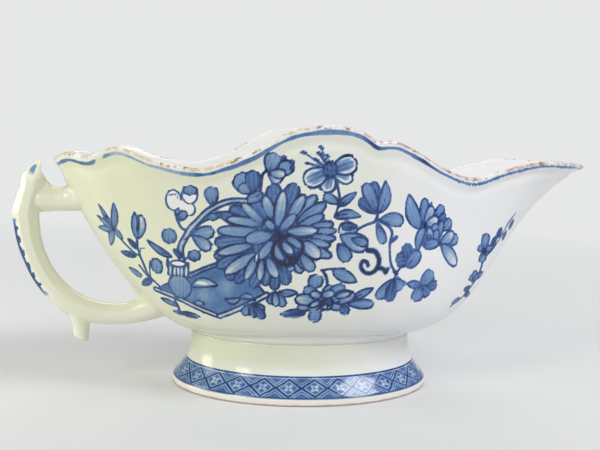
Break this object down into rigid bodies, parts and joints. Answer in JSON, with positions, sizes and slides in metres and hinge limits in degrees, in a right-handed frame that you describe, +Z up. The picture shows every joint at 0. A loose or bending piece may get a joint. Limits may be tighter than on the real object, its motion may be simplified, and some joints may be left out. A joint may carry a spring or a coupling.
{
  "type": "sauceboat",
  "caption": "Glazed porcelain sauceboat with a scalloped rim and long spout, on a hollow oval foot, with a branch-shaped handle and flower painting.",
  "frame": {"origin": "on the table, in the middle plane, midway between the back of the handle and the tip of the spout", "axes": "+X towards the spout, +Y to the boat's left side seen from the handle, +Z up"},
  "size_m": [0.2198, 0.0894, 0.0974],
  "materials": {
    "bowl_glaze": "clear glossy glaze over porcelain, painted in underglaze blue",
    "foot_glaze": "clear glossy glaze over porcelain, with a painted blue band",
    "handle_glaze": "clear glossy glaze over porcelain, with blue dashes"
  },
  "bodies": {
    "root": {"bowl": "bowl_glaze", "foot": "foot_glaze", "handle_strap": "handle_glaze", "thumb_rest": "handle_glaze", "handle_arm": "handle_glaze", "handle_spur": "handle_glaze"}
  },
  "joints": []
}
